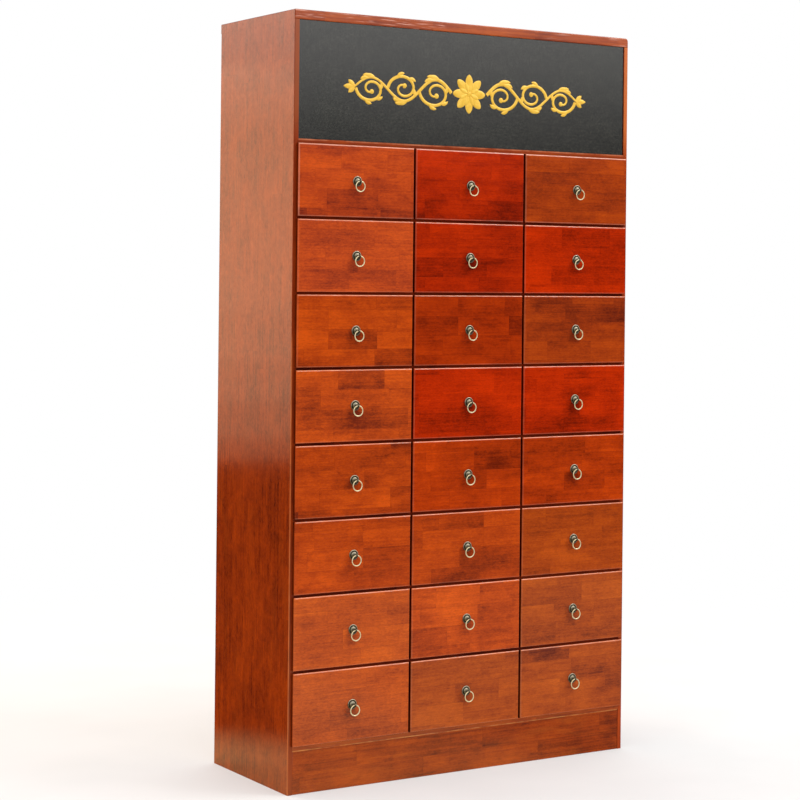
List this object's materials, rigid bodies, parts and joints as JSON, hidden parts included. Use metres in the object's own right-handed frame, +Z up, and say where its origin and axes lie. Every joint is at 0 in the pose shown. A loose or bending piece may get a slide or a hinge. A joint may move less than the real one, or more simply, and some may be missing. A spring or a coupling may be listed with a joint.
{
  "type": "chinese medicine cabinet",
  "caption": "Tall narrow apothecary cabinet with a sign field over a grid of ring-pull drawers, each sliding in its own bay.",
  "frame": {"origin": "middle of the bounding box's base, on the floor, ring pulls counted in the depth", "axes": "+Z up; the drawers face and open along -Y; +X to the right as seen from the front's own back, that is, to the viewer's right when looking along +Y"},
  "size_m": [1.05, 0.4295, 1.955],
  "materials": {
    "side": "glossy red-brown lacquer over jointed staves, upright grain",
    "wood": "glossy red-brown lacquer over jointed staves",
    "sign": "satin black lacquer",
    "drawer": "glossy red-brown lacquered face on a plain wooden box",
    "plain": "plain plywood",
    "steel": "zinc-plated steel",
    "ring": "aged pale brass"
  },
  "bodies": {
    "carcass": {"left_side_panel": "side", "right_side_panel": "side", "top_board": "wood", "sign_board": "sign", "sign_rail": "wood", "floor_panel": "wood", "plinth_board": "wood", "left_divider": "wood", "right_divider": "wood", "drawer_shelves": "wood", "back_panel": "plain", "back_panel_screws": "steel"},
    "drawer_r1c1_body": {"drawer_r1c1": "drawer"},
    "ring_r1c1_body": {"ring_r1c1": "ring"},
    "drawer_r1c2_body": {"drawer_r1c2": "drawer"},
    "ring_r1c2_body": {"ring_r1c2": "ring"},
    "drawer_r1c3_body": {"drawer_r1c3": "drawer"},
    "ring_r1c3_body": {"ring_r1c3": "ring"},
    "drawer_r2c1_body": {"drawer_r2c1": "drawer"},
    "ring_r2c1_body": {"ring_r2c1": "ring"},
    "drawer_r2c2_body": {"drawer_r2c2": "drawer"},
    "ring_r2c2_body": {"ring_r2c2": "ring"},
    "drawer_r2c3_body": {"drawer_r2c3": "drawer"},
    "ring_r2c3_body": {"ring_r2c3": "ring"},
    "drawer_r3c1_body": {"drawer_r3c1": "drawer"},
    "ring_r3c1_body": {"ring_r3c1": "ring"},
    "drawer_r3c2_body": {"drawer_r3c2": "drawer"},
    "ring_r3c2_body": {"ring_r3c2": "ring"},
    "drawer_r3c3_body": {"drawer_r3c3": "drawer"},
    "ring_r3c3_body": {"ring_r3c3": "ring"},
    "drawer_r4c1_body": {"drawer_r4c1": "drawer"},
    "ring_r4c1_body": {"ring_r4c1": "ring"},
    "drawer_r4c2_body": {"drawer_r4c2": "drawer"},
    "ring_r4c2_body": {"ring_r4c2": "ring"},
    "drawer_r4c3_body": {"drawer_r4c3": "drawer"},
    "ring_r4c3_body": {"ring_r4c3": "ring"},
    "drawer_r5c1_body": {"drawer_r5c1": "drawer"},
    "ring_r5c1_body": {"ring_r5c1": "ring"},
    "drawer_r5c2_body": {"drawer_r5c2": "drawer"},
    "ring_r5c2_body": {"ring_r5c2": "ring"},
    "drawer_r5c3_body": {"drawer_r5c3": "drawer"},
    "ring_r5c3_body": {"ring_r5c3": "ring"},
    "drawer_r6c1_body": {"drawer_r6c1": "drawer"},
    "ring_r6c1_body": {"ring_r6c1": "ring"},
    "drawer_r6c2_body": {"drawer_r6c2": "drawer"},
    "ring_r6c2_body": {"ring_r6c2": "ring"},
    "drawer_r6c3_body": {"drawer_r6c3": "drawer"},
    "ring_r6c3_body": {"ring_r6c3": "ring"},
    "drawer_r7c1_body": {"drawer_r7c1": "drawer"},
    "ring_r7c1_body": {"ring_r7c1": "ring"},
    "drawer_r7c2_body": {"drawer_r7c2": "drawer"},
    "ring_r7c2_body": {"ring_r7c2": "ring"},
    "drawer_r7c3_body": {"drawer_r7c3": "drawer"},
    "ring_r7c3_body": {"ring_r7c3": "ring"},
    "drawer_r8c1_body": {"drawer_r8c1": "drawer"},
    "ring_r8c1_body": {"ring_r8c1": "ring"},
    "drawer_r8c2_body": {"drawer_r8c2": "drawer"},
    "ring_r8c2_body": {"ring_r8c2": "ring"},
    "drawer_r8c3_body": {"drawer_r8c3": "drawer"},
    "ring_r8c3_body": {"ring_r8c3": "ring"}
  },
  "joints": [
    {"name": "drawer_r1c1_slide", "type": "slide", "parent": "carcass", "child": "drawer_r1c1_body", "axis": [0, -1, 0], "range_m": [0, 0.28]},
    {"name": "ring_r1c1_swing", "type": "hinge", "parent": "drawer_r1c1_body", "child": "ring_r1c1_body", "pos_m": [-0.346, -0.21055, 1.53125], "axis": [-1, 0, 0], "range_deg": [-27, 207]},
    {"name": "drawer_r1c2_slide", "type": "slide", "parent": "carcass", "child": "drawer_r1c2_body", "axis": [0, -1, 0], "range_m": [0, 0.28]},
    {"name": "ring_r1c2_swing", "type": "hinge", "parent": "drawer_r1c2_body", "child": "ring_r1c2_body", "pos_m": [0, -0.21055, 1.53125], "axis": [-1, 0, 0], "range_deg": [-27, 207]},
    {"name": "drawer_r1c3_slide", "type": "slide", "parent": "carcass", "child": "drawer_r1c3_body", "axis": [0, -1, 0], "range_m": [0, 0.28]},
    {"name": "ring_r1c3_swing", "type": "hinge", "parent": "drawer_r1c3_body", "child": "ring_r1c3_body", "pos_m": [0.346, -0.21055, 1.53125], "axis": [-1, 0, 0], "range_deg": [-27, 207]},
    {"name": "drawer_r2c1_slide", "type": "slide", "parent": "carcass", "child": "drawer_r2c1_body", "axis": [0, -1, 0], "range_m": [0, 0.28]},
    {"name": "ring_r2c1_swing", "type": "hinge", "parent": "drawer_r2c1_body", "child": "ring_r2c1_body", "pos_m": [-0.346, -0.21055, 1.34275], "axis": [-1, 0, 0], "range_deg": [-27, 207]},
    {"name": "drawer_r2c2_slide", "type": "slide", "parent": "carcass", "child": "drawer_r2c2_body", "axis": [0, -1, 0], "range_m": [0, 0.28]},
    {"name": "ring_r2c2_swing", "type": "hinge", "parent": "drawer_r2c2_body", "child": "ring_r2c2_body", "pos_m": [0, -0.21055, 1.34275], "axis": [-1, 0, 0], "range_deg": [-27, 207]},
    {"name": "drawer_r2c3_slide", "type": "slide", "parent": "carcass", "child": "drawer_r2c3_body", "axis": [0, -1, 0], "range_m": [0, 0.28]},
    {"name": "ring_r2c3_swing", "type": "hinge", "parent": "drawer_r2c3_body", "child": "ring_r2c3_body", "pos_m": [0.346, -0.21055, 1.34275], "axis": [-1, 0, 0], "range_deg": [-27, 207]},
    {"name": "drawer_r3c1_slide", "type": "slide", "parent": "carcass", "child": "drawer_r3c1_body", "axis": [0, -1, 0], "range_m": [0, 0.28]},
    {"name": "ring_r3c1_swing", "type": "hinge", "parent": "drawer_r3c1_body", "child": "ring_r3c1_body", "pos_m": [-0.346, -0.21055, 1.15425], "axis": [-1, 0, 0], "range_deg": [-27, 207]},
    {"name": "drawer_r3c2_slide", "type": "slide", "parent": "carcass", "child": "drawer_r3c2_body", "axis": [0, -1, 0], "range_m": [0, 0.28]},
    {"name": "ring_r3c2_swing", "type": "hinge", "parent": "drawer_r3c2_body", "child": "ring_r3c2_body", "pos_m": [0, -0.21055, 1.15425], "axis": [-1, 0, 0], "range_deg": [-27, 207]},
    {"name": "drawer_r3c3_slide", "type": "slide", "parent": "carcass", "child": "drawer_r3c3_body", "axis": [0, -1, 0], "range_m": [0, 0.28]},
    {"name": "ring_r3c3_swing", "type": "hinge", "parent": "drawer_r3c3_body", "child": "ring_r3c3_body", "pos_m": [0.346, -0.21055, 1.15425], "axis": [-1, 0, 0], "range_deg": [-27, 207]},
    {"name": "drawer_r4c1_slide", "type": "slide", "parent": "carcass", "child": "drawer_r4c1_body", "axis": [0, -1, 0], "range_m": [0, 0.28]},
    {"name": "ring_r4c1_swing", "type": "hinge", "parent": "drawer_r4c1_body", "child": "ring_r4c1_body", "pos_m": [-0.346, -0.21055, 0.96575], "axis": [-1, 0, 0], "range_deg": [-27, 207]},
    {"name": "drawer_r4c2_slide", "type": "slide", "parent": "carcass", "child": "drawer_r4c2_body", "axis": [0, -1, 0], "range_m": [0, 0.28]},
    {"name": "ring_r4c2_swing", "type": "hinge", "parent": "drawer_r4c2_body", "child": "ring_r4c2_body", "pos_m": [0, -0.21055, 0.96575], "axis": [-1, 0, 0], "range_deg": [-27, 207]},
    {"name": "drawer_r4c3_slide", "type": "slide", "parent": "carcass", "child": "drawer_r4c3_body", "axis": [0, -1, 0], "range_m": [0, 0.28]},
    {"name": "ring_r4c3_swing", "type": "hinge", "parent": "drawer_r4c3_body", "child": "ring_r4c3_body", "pos_m": [0.346, -0.21055, 0.96575], "axis": [-1, 0, 0], "range_deg": [-27, 207]},
    {"name": "drawer_r5c1_slide", "type": "slide", "parent": "carcass", "child": "drawer_r5c1_body", "axis": [0, -1, 0], "range_m": [0, 0.28]},
    {"name": "ring_r5c1_swing", "type": "hinge", "parent": "drawer_r5c1_body", "child": "ring_r5c1_body", "pos_m": [-0.346, -0.21055, 0.77725], "axis": [-1, 0, 0], "range_deg": [-27, 207]},
    {"name": "drawer_r5c2_slide", "type": "slide", "parent": "carcass", "child": "drawer_r5c2_body", "axis": [0, -1, 0], "range_m": [0, 0.28]},
    {"name": "ring_r5c2_swing", "type": "hinge", "parent": "drawer_r5c2_body", "child": "ring_r5c2_body", "pos_m": [0, -0.21055, 0.77725], "axis": [-1, 0, 0], "range_deg": [-27, 207]},
    {"name": "drawer_r5c3_slide", "type": "slide", "parent": "carcass", "child": "drawer_r5c3_body", "axis": [0, -1, 0], "range_m": [0, 0.28]},
    {"name": "ring_r5c3_swing", "type": "hinge", "parent": "drawer_r5c3_body", "child": "ring_r5c3_body", "pos_m": [0.346, -0.21055, 0.77725], "axis": [-1, 0, 0], "range_deg": [-27, 207]},
    {"name": "drawer_r6c1_slide", "type": "slide", "parent": "carcass", "child": "drawer_r6c1_body", "axis": [0, -1, 0], "range_m": [0, 0.28]},
    {"name": "ring_r6c1_swing", "type": "hinge", "parent": "drawer_r6c1_body", "child": "ring_r6c1_body", "pos_m": [-0.346, -0.21055, 0.58875], "axis": [-1, 0, 0], "range_deg": [-27, 207]},
    {"name": "drawer_r6c2_slide", "type": "slide", "parent": "carcass", "child": "drawer_r6c2_body", "axis": [0, -1, 0], "range_m": [0, 0.28]},
    {"name": "ring_r6c2_swing", "type": "hinge", "parent": "drawer_r6c2_body", "child": "ring_r6c2_body", "pos_m": [0, -0.21055, 0.58875], "axis": [-1, 0, 0], "range_deg": [-27, 207]},
    {"name": "drawer_r6c3_slide", "type": "slide", "parent": "carcass", "child": "drawer_r6c3_body", "axis": [0, -1, 0], "range_m": [0, 0.28]},
    {"name": "ring_r6c3_swing", "type": "hinge", "parent": "drawer_r6c3_body", "child": "ring_r6c3_body", "pos_m": [0.346, -0.21055, 0.58875], "axis": [-1, 0, 0], "range_deg": [-27, 207]},
    {"name": "drawer_r7c1_slide", "type": "slide", "parent": "carcass", "child": "drawer_r7c1_body", "axis": [0, -1, 0], "range_m": [0, 0.28]},
    {"name": "ring_r7c1_swing", "type": "hinge", "parent": "drawer_r7c1_body", "child": "ring_r7c1_body", "pos_m": [-0.346, -0.21055, 0.40025], "axis": [-1, 0, 0], "range_deg": [-27, 207]},
    {"name": "drawer_r7c2_slide", "type": "slide", "parent": "carcass", "child": "drawer_r7c2_body", "axis": [0, -1, 0], "range_m": [0, 0.28]},
    {"name": "ring_r7c2_swing", "type": "hinge", "parent": "drawer_r7c2_body", "child": "ring_r7c2_body", "pos_m": [0, -0.21055, 0.40025], "axis": [-1, 0, 0], "range_deg": [-27, 207]},
    {"name": "drawer_r7c3_slide", "type": "slide", "parent": "carcass", "child": "drawer_r7c3_body", "axis": [0, -1, 0], "range_m": [0, 0.28]},
    {"name": "ring_r7c3_swing", "type": "hinge", "parent": "drawer_r7c3_body", "child": "ring_r7c3_body", "pos_m": [0.346, -0.21055, 0.40025], "axis": [-1, 0, 0], "range_deg": [-27, 207]},
    {"name": "drawer_r8c1_slide", "type": "slide", "parent": "carcass", "child": "drawer_r8c1_body", "axis": [0, -1, 0], "range_m": [0, 0.28]},
    {"name": "ring_r8c1_swing", "type": "hinge", "parent": "drawer_r8c1_body", "child": "ring_r8c1_body", "pos_m": [-0.346, -0.21055, 0.21175], "axis": [-1, 0, 0], "range_deg": [-27, 207]},
    {"name": "drawer_r8c2_slide", "type": "slide", "parent": "carcass", "child": "drawer_r8c2_body", "axis": [0, -1, 0], "range_m": [0, 0.28]},
    {"name": "ring_r8c2_swing", "type": "hinge", "parent": "drawer_r8c2_body", "child": "ring_r8c2_body", "pos_m": [0, -0.21055, 0.21175], "axis": [-1, 0, 0], "range_deg": [-27, 207]},
    {"name": "drawer_r8c3_slide", "type": "slide", "parent": "carcass", "child": "drawer_r8c3_body", "axis": [0, -1, 0], "range_m": [0, 0.28]},
    {"name": "ring_r8c3_swing", "type": "hinge", "parent": "drawer_r8c3_body", "child": "ring_r8c3_body", "pos_m": [0.346, -0.21055, 0.21175], "axis": [-1, 0, 0], "range_deg": [-27, 207]}
  ]
}
